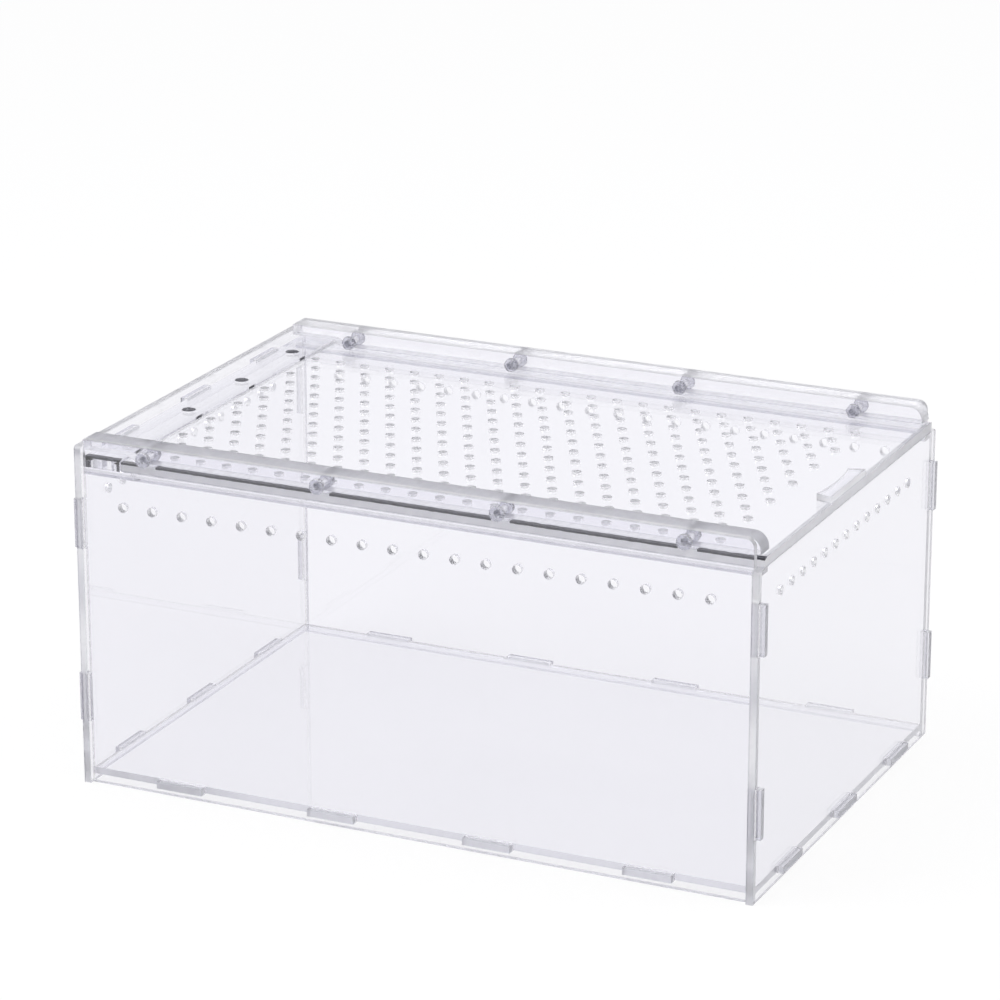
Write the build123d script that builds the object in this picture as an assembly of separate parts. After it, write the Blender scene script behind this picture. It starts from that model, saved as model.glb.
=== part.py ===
from build123d import *
import os

# A clear acrylic case for small reptiles: five slotted sheets, two screwed rails and a sliding lid.
# Millimetres, +Z up. The origin is the middle of the underside, +X is the end that the lid opens to.

# Overall sizes, over the faces of the sheets
length = 300.0
depth = 200.0
height = 150.0

# Sheets
sheet = 3.0
lid_thickness = 4.0
panel_inset = 2.0
floor_lift = 3.0
left_wall_drop = 2.5
wall_corner_radius = 1.5
panel_corner_radius = 4.0

# Tenons and the slots that they pass through
tenon_width = 21.0
tenon_projection = 2.0
floor_tenon_pitch_x = 70.0
floor_tenon_margin_x = 45.0
floor_tenon_pitch_y = 62.0
floor_tenon_margin_y = 38.0
lower_tenon_rise = 37.5
upper_tenon_drop = 36.5

# Rails, ledges and the strip that closes the end that the lid stops against
rail_height = 7.0
rail_width = 8.5
rail_overreach = 1.5
rail_corner_radius = 6.0
ledge_width = 6.0
lid_headroom = 1.2
strip_thickness = 5.0
strip_width = 16.0
notch_headroom = 2.5
notch_overcut = 2.0
notch_ramp = 8.0

# Holes
hole_diameter = 4.0
lid_hole_pitch = 12.0
lid_hole_margin = 24.0
panel_vent_pitch = 13.6
panel_vent_margin = 20.0
vent_drop = 27.0

# Grip on the lid
grip_length = 39.0
grip_taper = 2.0
grip_width = 7.0
grip_dish = 1.7
grip_height = 3.0

# Screws and nuts of the rails
screw_pitch = 79.0
screw_margin = 30.0
screw_drop = 4.8
screw_shank_diameter = 3.0
screw_head_diameter = 6.4
screw_head_height = 1.8
screw_tail = 0.6
screw_slot_width = 1.0
screw_slot_depth = 0.6
screw_head_rounding = 0.5
nut_width = 5.5
nut_height = 2.4

# Round magnets let into the strip
magnet_diameter = 6.0
magnet_height = 3.0
magnet_pitch = 47.0
magnet_margin = 28.0

# Clearances
glue_gap = 0.05
slot_clearance = 0.1
lid_side_clearance = 0.5
lid_end_clearance = 0.3
lid_rest_clearance = 0.1
magnet_clearance = 0.05
screw_clearance = 0.1
thread_clearance = 0.03

# Levels and faces that follow from the sizes above
wall_inner_x = length / 2 - sheet
panel_outer_y = depth / 2 - panel_inset
panel_inner_y = panel_outer_y - sheet
floor_top = floor_lift + sheet
rail_bottom = height - rail_height
lid_top = rail_bottom - lid_headroom
lid_bottom = lid_top - lid_thickness
ledge_top = lid_bottom - lid_rest_clearance
strip_bottom = ledge_top + glue_gap
strip_top = strip_bottom + strip_thickness
strip_inner_x = -wall_inner_x + strip_width
left_wall_top = height - left_wall_drop
vent_level = height - vent_drop
screw_level = height - screw_drop
tenon_levels = [lower_tenon_rise, height - upper_tenon_drop]


def centred_row(span, pitch, margin):
    """Places along a span, evenly pitched about its middle and kept clear of both ends."""
    steps = int((span - 2 * margin) / pitch + 1e-6)
    first = -steps * pitch / 2
    return [first + pitch * step for step in range(steps + 1)]


def row_from_front(span, pitch, margin):
    """Places laid out from the front edge at a steady pitch, as far as the back margin allows."""
    steps = int((span - 2 * margin) / pitch + 1e-6)
    first = margin - span / 2
    return [first + pitch * step for step in range(steps + 1)]


lid_columns = centred_row(length, lid_hole_pitch, lid_hole_margin)
lid_rows = row_from_front(depth, lid_hole_pitch, lid_hole_margin)
panel_vents = centred_row(length, panel_vent_pitch, panel_vent_margin)
floor_tenons_x = centred_row(length, floor_tenon_pitch_x, floor_tenon_margin_x)
floor_tenons_y = centred_row(depth, floor_tenon_pitch_y, floor_tenon_margin_y)
rail_screws_x = centred_row(length, screw_pitch, screw_margin)
magnets_y = centred_row(depth, magnet_pitch, magnet_margin)
magnets_x = (strip_inner_x - wall_inner_x) / 2


def block(low_x, high_x, low_y, high_y, low_z, high_z):
    """A rectangular block between two corners."""
    size = (high_x - low_x, high_y - low_y, high_z - low_z)
    middle = ((low_x + high_x) / 2, (low_y + high_y) / 2, (low_z + high_z) / 2)
    return Pos(*middle) * Box(*size)


def rod_z(x, y, low_z, high_z, diameter):
    """An upright round rod or drill."""
    return Pos(x, y, (low_z + high_z) / 2) * Cylinder(diameter / 2, high_z - low_z)


def rod_y(x, z, low_y, high_y, diameter):
    """A round rod or drill that lies along Y."""
    return Pos(x, (low_y + high_y) / 2, z) * Rot(90, 0, 0) * Cylinder(diameter / 2, high_y - low_y)


def rod_x(y, z, low_x, high_x, diameter):
    """A round rod or drill that lies along X."""
    return Pos((low_x + high_x) / 2, y, z) * Rot(0, 90, 0) * Cylinder(diameter / 2, high_x - low_x)


def tenon_slot_in_wall(side, centre_y, half_y, low_z, high_z):
    """The opening in a side wall for one tenon; side is -1 at the closed end and 1 at the open end."""
    reach = slot_clearance
    inner = side * (wall_inner_x - sheet)
    outer = side * (length / 2 + sheet)
    low_x, high_x = sorted((inner, outer))
    return block(
        low_x, high_x,
        centre_y - half_y - reach, centre_y + half_y + reach,
        low_z - reach, high_z + reach,
    )


def make_floor():
    """The floor sheet, lifted off the table, with tenons on all four edges."""
    edge_x = wall_inner_x - glue_gap
    edge_y = panel_inner_y - glue_gap
    floor = block(-edge_x, edge_x, -edge_y, edge_y, floor_lift, floor_top)
    reach_x = length / 2 + tenon_projection
    reach_y = panel_outer_y + tenon_projection
    for y in floor_tenons_y:
        floor += block(-reach_x, reach_x, y - tenon_width / 2, y + tenon_width / 2, floor_lift, floor_top)
    for x in floor_tenons_x:
        floor += block(x - tenon_width / 2, x + tenon_width / 2, -reach_y, reach_y, floor_lift, floor_top)
    return floor


def make_panel(side):
    """The front or back sheet; its upper edge is the outer layer of the rail. side is -1 at the front."""
    low_y, high_y = sorted((side * panel_inner_y, side * panel_outer_y))
    edge_x = wall_inner_x - glue_gap
    panel = block(-edge_x, edge_x, low_y, high_y, 0, height)
    corner = panel.edges().filter_by(Axis.Y).group_by(Axis.Z)[-1].sort_by(Axis.X)[-1]
    panel = fillet(corner, panel_corner_radius)
    reach_x = length / 2 + tenon_projection
    for z in tenon_levels:
        panel += block(-reach_x, reach_x, low_y, high_y, z - tenon_width / 2, z + tenon_width / 2)
    cuts = [rod_y(x, vent_level, low_y - sheet, high_y + sheet, hole_diameter) for x in panel_vents]
    hole = screw_shank_diameter + 2 * screw_clearance
    cuts += [rod_y(x, screw_level, low_y - sheet, high_y + sheet, hole) for x in rail_screws_x]
    for x in floor_tenons_x:
        half = tenon_width / 2 + slot_clearance
        cuts.append(
            block(
                x - half, x + half, low_y - sheet, high_y + sheet,
                floor_lift - slot_clearance, floor_top + slot_clearance,
            )
        )
    return panel - cuts


def cut_wall(wall, side):
    """Cuts the vents and the slots for the floor's and the panels' tenons out of a side wall."""
    inner_x, outer_x = side * (wall_inner_x - sheet), side * (length / 2 + sheet)
    low_x, high_x = sorted((inner_x, outer_x))
    cuts = [rod_x(y, vent_level, low_x, high_x, hole_diameter) for y in lid_rows]
    for y in floor_tenons_y:
        cuts.append(tenon_slot_in_wall(side, y, tenon_width / 2, floor_lift, floor_top))
    for z in tenon_levels:
        for panel_side in (-1, 1):
            centre_y = panel_side * (panel_inner_y + panel_outer_y) / 2
            cuts.append(tenon_slot_in_wall(side, centre_y, sheet / 2, z - tenon_width / 2, z + tenon_width / 2))
    return wall - cuts


def make_left_wall():
    """The closed end: a wall nearly as high as the panels, slotted for the strip too."""
    wall = block(-length / 2, -wall_inner_x, -depth / 2, depth / 2, 0, left_wall_top)
    wall = fillet(wall.edges().filter_by(Axis.X).group_by(Axis.Z)[-1], wall_corner_radius)
    wall = cut_wall(wall, -1)
    slots = [
        tenon_slot_in_wall(-1, y, tenon_width / 2, strip_bottom, strip_top) for y in floor_tenons_y
    ]
    return wall - slots


def make_right_wall():
    """The end that the lid slides out over: a wall that stops just under the lid."""
    wall = block(wall_inner_x, length / 2, -depth / 2, depth / 2, 0, ledge_top)
    wall = fillet(wall.edges().filter_by(Axis.X).group_by(Axis.Z)[-1], wall_corner_radius)
    return cut_wall(wall, 1)


def make_rail_notch():
    """The cut over the strip at a rail's closed end: flat, then an even S curve down to the rail's underside."""
    ceiling = strip_top + notch_headroom
    start_x = strip_inner_x + notch_overcut
    end_x = start_x + notch_ramp
    halfway = ((start_x + end_x) / 2, (ceiling + rail_bottom) / 2)
    floor_z = rail_bottom - sheet
    outline = Line((-length / 2, floor_z), (-length / 2, ceiling))
    outline += Line((-length / 2, ceiling), (start_x, ceiling))
    outline += TangentArc((start_x, ceiling), halfway, tangent=(1, 0))
    outline += TangentArc((end_x, rail_bottom), halfway, tangent=(-1, 0))
    outline += Line((end_x, rail_bottom), (end_x, floor_z))
    outline += Line((end_x, floor_z), (-length / 2, floor_z))
    upright = Rot(90, 0, 0) * make_face(outline)
    return extrude(upright, depth, both=True)


def make_rail(side):
    """The inner bar of a rail, which holds the lid down. It is notched over the strip at the closed end."""
    low_y, high_y = sorted((side * (panel_inner_y - glue_gap), side * (panel_inner_y - rail_width)))
    low_x = -wall_inner_x + glue_gap
    rail = block(low_x, wall_inner_x + rail_overreach, low_y, high_y, rail_bottom, height)
    corner = rail.edges().filter_by(Axis.Y).group_by(Axis.Z)[-1].sort_by(Axis.X)[-1]
    rail = fillet(corner, rail_corner_radius)
    hole = screw_shank_diameter + 2 * screw_clearance
    drills = [rod_y(x, screw_level, low_y - sheet, high_y + sheet, hole) for x in rail_screws_x]
    return rail - [make_rail_notch(), *drills]


def make_ledge(side):
    """The strip under the lid's long edge, which the lid slides on."""
    low_y, high_y = sorted((side * (panel_inner_y - glue_gap), side * (panel_inner_y - ledge_width)))
    edge_x = wall_inner_x - glue_gap
    return block(-edge_x, edge_x, low_y, high_y, ledge_top - sheet, ledge_top)


def make_end_strip():
    """The flat strip across the closed end, beside the lid, with tenons in the left wall."""
    low_x = -wall_inner_x + glue_gap
    edge_y = panel_inner_y - glue_gap
    strip = block(low_x, strip_inner_x, -edge_y, edge_y, strip_bottom, strip_top)
    for y in floor_tenons_y:
        strip += block(
            -length / 2 - tenon_projection, low_x + sheet,
            y - tenon_width / 2, y + tenon_width / 2, strip_bottom, strip_top,
        )
    pocket = magnet_diameter + 2 * magnet_clearance
    pocket_floor = strip_top - magnet_height - magnet_clearance
    drills = [rod_z(magnets_x, y, pocket_floor, strip_top + sheet, pocket) for y in magnets_y]
    return strip - drills


def make_lid():
    """The sliding lid, drilled all over in staggered rows."""
    edge_y = panel_inner_y - lid_side_clearance
    lid = block(strip_inner_x + lid_end_clearance, length / 2, -edge_y, edge_y, lid_bottom, lid_top)
    drills = []
    for number, y in enumerate(lid_rows):
        if number % 2 == 0:
            places = lid_columns
        else:
            places = [x + lid_hole_pitch / 2 for x in lid_columns[:-1]]
        drills += [rod_z(x, y, lid_bottom - sheet, lid_top + sheet, hole_diameter) for x in places]
    return lid - drills


def make_lid_grip():
    """The raised plate at the lid's open end, with a dished inner side for the fingertips."""
    middle_y = (lid_rows[0] + lid_rows[-1]) / 2
    outer_x = length / 2
    inner_x = outer_x - grip_width
    far_y = middle_y + grip_length / 2
    near_y = middle_y - grip_length / 2
    outline = Line((outer_x, near_y), (outer_x, far_y))
    outline += Line((outer_x, far_y), (inner_x, far_y - grip_taper))
    outline += ThreePointArc(
        (inner_x, far_y - grip_taper), (inner_x + grip_dish, middle_y), (inner_x, near_y + grip_taper),
    )
    outline += Line((inner_x, near_y + grip_taper), (outer_x, near_y))
    plate = extrude(make_face(outline), grip_height)
    return Pos(0, 0, lid_top + glue_gap) * plate


def make_screw(head_diameter, head_height, shank_diameter, shank_length):
    """A slotted pan-head screw that points down, with the underside of its head at the origin."""
    head = Pos(0, 0, head_height / 2) * Cylinder(head_diameter / 2, head_height)
    head = fillet(head.edges().sort_by(Axis.Z)[-1], min(screw_head_rounding, head_height / 2))
    slot = Pos(0, 0, head_height) * Box(head_diameter * 2, screw_slot_width, 2 * screw_slot_depth)
    shank = Pos(0, 0, -shank_length / 2) * Cylinder(shank_diameter / 2, shank_length)
    return head - slot + shank


def make_rail_screws(side):
    """The screws that clamp a rail to its panel, heads on the outside."""
    grip = sheet + rail_width
    shank_length = grip + nut_height + screw_tail
    screw = make_screw(screw_head_diameter, screw_head_height, screw_shank_diameter, shank_length)
    head_seat_y = side * (panel_outer_y + glue_gap)
    turn = Rot(-90 * side, 0, 0)
    return Compound([Pos(x, head_seat_y, screw_level) * turn * screw for x in rail_screws_x])


def make_rail_nuts(side):
    """The hexagonal nuts on the inner side of a rail, each with a flat towards the lid."""
    outline = RegularPolygon(nut_width / 2, 6, major_radius=False)
    bore = Circle(screw_shank_diameter / 2 + thread_clearance)
    nut = extrude(outline - bore, nut_height)
    seat_y = side * (panel_inner_y - rail_width - glue_gap)
    turn = Rot(90 * side, 0, 0)
    return Compound([Pos(x, seat_y, screw_level) * turn * nut for x in rail_screws_x])


def make_strip_magnets():
    """The round magnets in the end strip, each on the floor of its pocket and just under the surface."""
    top = strip_top - magnet_clearance
    return Compound([rod_z(magnets_x, y, top - magnet_height, top, magnet_diameter) for y in magnets_y])


nodes = {
    "floor_panel": make_floor(),
    "front_panel": make_panel(-1),
    "back_panel": make_panel(1),
    "left_wall": make_left_wall(),
    "right_wall": make_right_wall(),
    "front_rail": make_rail(-1),
    "back_rail": make_rail(1),
    "front_ledge": make_ledge(-1),
    "back_ledge": make_ledge(1),
    "end_strip": make_end_strip(),
    "end_strip_magnets": make_strip_magnets(),
    "front_rail_screws": make_rail_screws(-1),
    "front_rail_nuts": make_rail_nuts(-1),
    "back_rail_screws": make_rail_screws(1),
    "back_rail_nuts": make_rail_nuts(1),
    "lid": make_lid(),
    "lid_grip": make_lid_grip(),
}

os.makedirs("parts", exist_ok=True)
for name, shape in nodes.items():
    export_step(shape, f"parts/{name}.step")
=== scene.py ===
import logging
import math
from collections.abc import Callable
from dataclasses import dataclass
from enum import Enum

import bpy
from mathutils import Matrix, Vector


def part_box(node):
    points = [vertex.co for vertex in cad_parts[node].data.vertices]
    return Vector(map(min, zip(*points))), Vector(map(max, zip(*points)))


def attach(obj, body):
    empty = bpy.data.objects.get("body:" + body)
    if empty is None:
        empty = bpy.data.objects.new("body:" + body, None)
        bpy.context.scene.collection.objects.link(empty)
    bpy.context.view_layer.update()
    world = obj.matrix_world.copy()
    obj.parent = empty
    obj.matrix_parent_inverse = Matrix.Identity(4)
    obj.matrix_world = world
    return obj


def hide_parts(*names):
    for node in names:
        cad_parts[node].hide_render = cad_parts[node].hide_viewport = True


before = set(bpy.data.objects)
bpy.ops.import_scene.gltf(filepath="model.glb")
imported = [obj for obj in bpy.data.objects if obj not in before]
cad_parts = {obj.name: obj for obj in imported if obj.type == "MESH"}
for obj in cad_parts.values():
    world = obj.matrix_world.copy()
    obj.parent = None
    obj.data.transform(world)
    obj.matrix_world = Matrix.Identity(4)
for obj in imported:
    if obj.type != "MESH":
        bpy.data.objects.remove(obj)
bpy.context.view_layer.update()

Triple = tuple[float, float, float]
Socket = bpy.types.NodeSocket
Piece = bpy.types.Object

MILLIMETRE = 0.001
LOG = logging.getLogger("terrarium")


class SheetAxis(Enum):
    """The direction that a sheet's broad faces look along."""

    X = (1.0, 0.0, 0.0)
    Y = (0.0, 1.0, 0.0)
    Z = (0.0, 0.0, 1.0)


class BooleanStep(Enum):
    """How one solid works on another."""

    CUT = "DIFFERENCE"
    JOIN = "UNION"
    TRIM = "INTERSECT"


@dataclass(frozen=True)
class AcrylicFinish:
    """A polished clear sheet: its tint, its gloss, the marks that cutting and handling leave on it, and a
    painted shade line where it has one.

    Args:
        name: Name of the material.
        sheet_axis: Direction that the broad faces look along.
        ior: How strongly the sheet bends light.
        tint: Colour of light that passes a broad face.
        edge_tint: Colour of light that passes a cut edge.
        arris_tint: Colour of light that passes the softened arris round a broad face.
        tenon_tint: Colour of light that passes the satin of a tenon.
        dirt_tint: Colour of light that passes dust and handling marks.
        grime_tint: Near-black colour of the painted shade line along the front upper arris.
        edge_roughness: Roughness of a cut edge.
        stripe_roughness: How much the cutting stripes change that roughness.
        stripe_height: Depth of the cutting stripes, in metres.
        absorption: Colour that the body of the sheet leaves over a long path.
        absorption_density: How fast the body takes light away, per metre.
        scratch_height: Depth of the finest scratches, in metres.
        wave_height: Depth of the slow waves that casting leaves, in metres.
        smudge: How much roughness a finger mark adds.
        wear_reach: How far handling marks come in from the border, in metres.
        wear_roughness: How much roughness handling adds along the border.
        arris_width: Width of the softened arris on a broad face, in metres.
        rim_width: The same on a cut edge, at the side that was down in the cutter, in metres.
        tenon_axes: 1 along each axis that the sheet has tenons along, and 0 along the others.
        tenon_reach: How far the satin of the tenons comes in from their ends, in metres.
        grime: Strength of the painted shade line along the front upper arris, from 0 for none.
        grime_across: How far that painted shade comes in over the upper face, in metres.
        grime_down: How far it comes down the edge, in metres.
        rub_first: Where along X the first screw leaves a gap in the painted shade.
        rub_pitch: Distance from one screw to the next, in metres.
        rub_half: How far on each side of a screw the arris is left without painted shade, in metres.
    """

    name: str
    sheet_axis: SheetAxis = SheetAxis.Z
    ior: float = 1.49
    tint: Triple = (0.95, 0.947, 0.972)
    edge_tint: Triple = (0.99, 0.99, 1.0)
    arris_tint: Triple = (0.60, 0.60, 0.64)
    tenon_tint: Triple = (0.80, 0.80, 0.84)
    dirt_tint: Triple = (0.86, 0.86, 0.89)
    # Painted shade: a near-black line painted along the front upper arris, standing in for the dark line
    # that the light leaves there.
    grime_tint: Triple = (0.004, 0.004, 0.006)
    edge_roughness: float = 0.30
    stripe_roughness: float = 0.10
    stripe_height: float = 0.0000015
    absorption: Triple = (0.80, 0.80, 0.87)
    absorption_density: float = 1.2
    scratch_height: float = 0.000001
    wave_height: float = 0.00002
    smudge: float = 0.015
    wear_reach: float = 0.004
    wear_roughness: float = 0.03
    arris_width: float = 0.0004
    rim_width: float = 0.0006
    tenon_axes: Triple = (0.0, 0.0, 0.0)
    tenon_reach: float = 0.0048
    grime: float = 0.0
    grime_across: float = 0.0030
    grime_down: float = 0.0010
    rub_first: float = 0.0
    rub_pitch: float = 1.0
    rub_half: float = 0.0


@dataclass(frozen=True)
class MouldedFinish:
    """A clear moulded plastic with a soft skin, for screws and nuts.

    Args:
        name: Name of the material.
        ior: How strongly the plastic bends light.
        tint: Colour of light that passes a face.
        hollow_tint: The same in the low spots of the grain, where handling leaves dirt.
        roughness: Roughness of the moulded skin.
        rub_roughness: How much rubbing adds to that roughness, as a share of it.
        transmission: Share of the light that passes the body.
        absorption: Colour that the body leaves over a long path.
        absorption_density: How fast the body takes light away, per metre.
        grain_height: Depth of the moulded grain, in metres.
    """

    name: str
    ior: float = 1.52
    tint: Triple = (0.76, 0.76, 0.81)
    hollow_tint: Triple = (0.70, 0.70, 0.75)
    roughness: float = 0.22
    rub_roughness: float = 0.5
    transmission: float = 0.97
    absorption: Triple = (0.70, 0.70, 0.76)
    absorption_density: float = 2.0
    grain_height: float = 0.000006


@dataclass(frozen=True)
class PlatedFinish:
    """A dark nickel plate for magnets.

    Args:
        name: Name of the material.
        colour: Colour of the plate.
        worn_colour: Colour where the plate is rubbed.
        roughness: Roughness of the plate.
        rub_roughness: How much rubbing adds to that roughness, as a share of it.
        grain_height: Depth of the plated grain, in metres.
    """

    name: str
    colour: Triple = (0.055, 0.055, 0.07)
    worn_colour: Triple = (0.20, 0.20, 0.22)
    roughness: float = 0.32
    rub_roughness: float = -0.4
    grain_height: float = 0.000004


class NodeGraph:
    """Places and links shader nodes in one node tree."""

    COLUMN_WIDTH = 220
    MIX_FACTOR = 0
    MIX_COLOURS = (6, 7)
    MIX_RESULT = 2

    def __init__(self, tree: bpy.types.NodeTree) -> None:
        """Empties a tree and keeps it.

        Args:
            tree: The node tree to fill.
        """
        self.tree = tree
        self.tree.nodes.clear()
        self.column = 0

    @classmethod
    def of_material(cls, name: str) -> tuple[bpy.types.Material, "NodeGraph"]:
        """Makes a material with an empty graph.

        Args:
            name: Name of the material.

        Returns:
            The material and its graph.
        """
        material = bpy.data.materials.new(name)
        material.use_nodes = True
        return material, cls(material.node_tree)

    def add(self, kind: str, settings: dict[str, object] | None = None, **sockets: object) -> bpy.types.Node:
        """Adds a node, sets its options and fills or links its inputs.

        Args:
            kind: Blender's name of the node type.
            settings: Options of the node, by attribute name.
            **sockets: Values or output sockets, by input name with underscores for spaces.

        Returns:
            The new node.
        """
        node = self.tree.nodes.new(kind)
        node.location = (self.COLUMN_WIDTH * self.column, 0)
        self.column += 1
        for key, value in (settings or {}).items():
            setattr(node, key, value)
        for key, value in sockets.items():
            self.feed(node, key.replace("_", " "), value)
        return node

    def feed(self, node: bpy.types.Node, socket: str | int, value: object) -> None:
        """Gives an input a value, or links an output to it.

        Args:
            node: The node whose input is fed.
            socket: Name or number of the input.
            value: A number, a tuple or an output socket.
        """
        target = node.inputs[socket]
        if isinstance(value, Socket):
            self.tree.links.new(value, target)
        else:
            target.default_value = value

    def maths(self, operation: str, *values: object) -> Socket:
        """Adds a Math node.

        Args:
            operation: The node's operation.
            *values: Numbers or output sockets, in the order of the inputs.

        Returns:
            The node's output.
        """
        node = self.add("ShaderNodeMath", {"operation": operation})
        for number, value in enumerate(values):
            self.feed(node, number, value)
        return node.outputs[0]

    def vector_maths(self, operation: str, *values: object) -> bpy.types.Node:
        """Adds a Vector Math node.

        Args:
            operation: The node's operation.
            *values: Vectors or output sockets, in the order of the inputs.

        Returns:
            The node, whose output is Vector or Value.
        """
        node = self.add("ShaderNodeVectorMath", {"operation": operation})
        for number, value in enumerate(values):
            self.feed(node, number, value)
        return node

    def blend(self, factor: object, first: object, second: object) -> Socket:
        """Mixes two colours.

        Args:
            factor: A number or an output socket, 0 for the first colour and 1 for the second.
            first: A colour or an output socket.
            second: A colour or an output socket.

        Returns:
            The mixed colour.
        """
        node = self.add("ShaderNodeMix", {"data_type": "RGBA"})
        self.feed(node, self.MIX_FACTOR, factor)
        for socket, value in zip(self.MIX_COLOURS, (first, second)):
            if isinstance(value, tuple) and len(value) == 3:
                value = (*value, 1.0)
            self.feed(node, socket, value)
        return node.outputs[self.MIX_RESULT]

    def rise(self, value: object, low: float, high: float, falls: bool = False) -> Socket:
        """Takes a value from 0 to 1, or from 1 to 0, along a smooth step.

        Args:
            value: The value that is read.
            low: Where the step starts.
            high: Where the step ends.
            falls: Whether the step goes down.

        Returns:
            The height of the step.
        """
        node = self.add("ShaderNodeMapRange", {"interpolation_type": "SMOOTHSTEP"})
        start, end = (1.0, 0.0) if falls else (0.0, 1.0)
        for number, entry in enumerate((value, low, high, start, end)):
            self.feed(node, number, entry)
        return node.outputs[0]

    def noise(self, place: Socket, scale: float, detail: float, roughness: float = 0.5) -> Socket:
        """Adds a noise texture.

        Args:
            place: Where on the piece it is read.
            scale: Its bumps per metre.
            detail: How many finer layers it has.
            roughness: How strong the finer layers are.

        Returns:
            The noise, from 0 to 1.
        """
        node = self.add(
            "ShaderNodeTexNoise", Vector=place, Scale=scale, Detail=detail, Roughness=roughness
        )
        return node.outputs[0]

    def emboss(self, height: Socket) -> Socket:
        """Turns a height in metres into a normal.

        Args:
            height: The height.

        Returns:
            The normal.
        """
        return self.add("ShaderNodeBump", Strength=1.0, Distance=1.0, Height=height).outputs[0]

    def show_clear(self, shader: bpy.types.Node, absorption: Triple, density: float) -> None:
        """Shows a clear shader, with a body that takes a little light away.

        Args:
            shader: The shader of the surface.
            absorption: Colour that the body leaves over a long path.
            density: How fast the body takes light away, per metre.
        """
        absorb = self.add("ShaderNodeVolumeAbsorption", Density=density)
        self.feed(absorb, "Color", (*absorption, 1.0))
        output = self.add("ShaderNodeOutputMaterial", Surface=shader.outputs[0])
        self.feed(output, "Volume", absorb.outputs[0])


class MarkGroup:
    """A shader node group that is built once and shared by the materials."""

    NAME = "marks"
    VECTORS: tuple[str, ...] = ()
    VALUES: tuple[str, ...] = ()
    OUTPUTS: tuple[str, ...] = ()

    def build(self) -> bpy.types.NodeTree:
        """Makes the group, or finds it if it is there.

        Returns:
            The node group.
        """
        found = bpy.data.node_groups.get(self.NAME)
        if found:
            return found
        group = bpy.data.node_groups.new(self.NAME, "ShaderNodeTree")
        graph = NodeGraph(group)
        for way, kind, names in (
            ("INPUT", "NodeSocketVector", self.VECTORS),
            ("INPUT", "NodeSocketFloat", self.VALUES),
            ("OUTPUT", "NodeSocketFloat", self.OUTPUTS),
        ):
            for name in names:
                group.interface.new_socket(name, in_out=way, socket_type=kind)
        given = graph.add("NodeGroupInput")
        results = self.fill(graph, given.outputs)
        shown = graph.add("NodeGroupOutput")
        for name, result in results.items():
            graph.feed(shown, name, result)
        return group

    def fill(self, graph: NodeGraph, given: bpy.types.NodeOutputs) -> dict[str, Socket]:
        """Adds the nodes between the group's inputs and outputs.

        Args:
            graph: The group's graph.
            given: The group's inputs.

        Returns:
            The result for each output.
        """
        raise NotImplementedError

    def place(self, graph: NodeGraph, **values: object) -> bpy.types.Node:
        """Puts the group into a material with its own values.

        Args:
            graph: The material's graph.
            **values: Values or output sockets, by input name with underscores for spaces.

        Returns:
            The group node.
        """
        return graph.add("ShaderNodeGroup", {"node_tree": self.build()}, **values)


class SurfaceMarks(MarkGroup):
    """Scratches, finger marks, dust and the slow waves of a cast sheet."""

    NAME = "surface_marks"
    VECTORS = ("Vector",)
    VALUES = ("Scratch Height", "Wave Height", "Smudge")
    OUTPUTS = ("Height", "Smear", "Dust", "Cast")
    SCRATCH_TURN = (0.3, 0.5, 0.4)
    SCRATCH_STRETCH = (1.0, 14.0, 6.0)
    SCRATCH_SCALE = 60.0
    SCRATCH_STEP = (0.66, 0.74)
    WAVE_SCALE = 9.0
    CAST_STEP = (0.3, 0.7)
    FINGER_SCALE = 22.0
    FINGER_STEP = (0.56, 0.72)
    DUST_SCALE = 900.0
    DUST_STEP = (0.68, 0.76)

    def fill(self, graph: NodeGraph, given: bpy.types.NodeOutputs) -> dict[str, Socket]:
        """Adds the noise textures that the marks come from.

        Args:
            graph: The group's graph.
            given: The group's inputs.

        Returns:
            The result for each output.
        """
        place = given["Vector"]
        along = graph.add(
            "ShaderNodeMapping", Vector=place, Rotation=self.SCRATCH_TURN, Scale=self.SCRATCH_STRETCH
        )
        scratch = graph.noise(along.outputs[0], self.SCRATCH_SCALE, 4.0)
        lines = graph.rise(scratch, *self.SCRATCH_STEP)
        wave = graph.noise(place, self.WAVE_SCALE, 1.0)
        fingers = graph.noise(place, self.FINGER_SCALE, 5.0, 0.6)
        dust = graph.noise(place, self.DUST_SCALE, 1.0)
        scratch_height = graph.maths("MULTIPLY", lines, given["Scratch Height"])
        wave_height = graph.maths("MULTIPLY", wave, given["Wave Height"])
        return {
            "Height": graph.maths("ADD", scratch_height, wave_height),
            "Smear": graph.maths("MULTIPLY", graph.rise(fingers, *self.FINGER_STEP), given["Smudge"]),
            "Dust": graph.rise(dust, *self.DUST_STEP),
            "Cast": graph.rise(wave, *self.CAST_STEP),
        }


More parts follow.
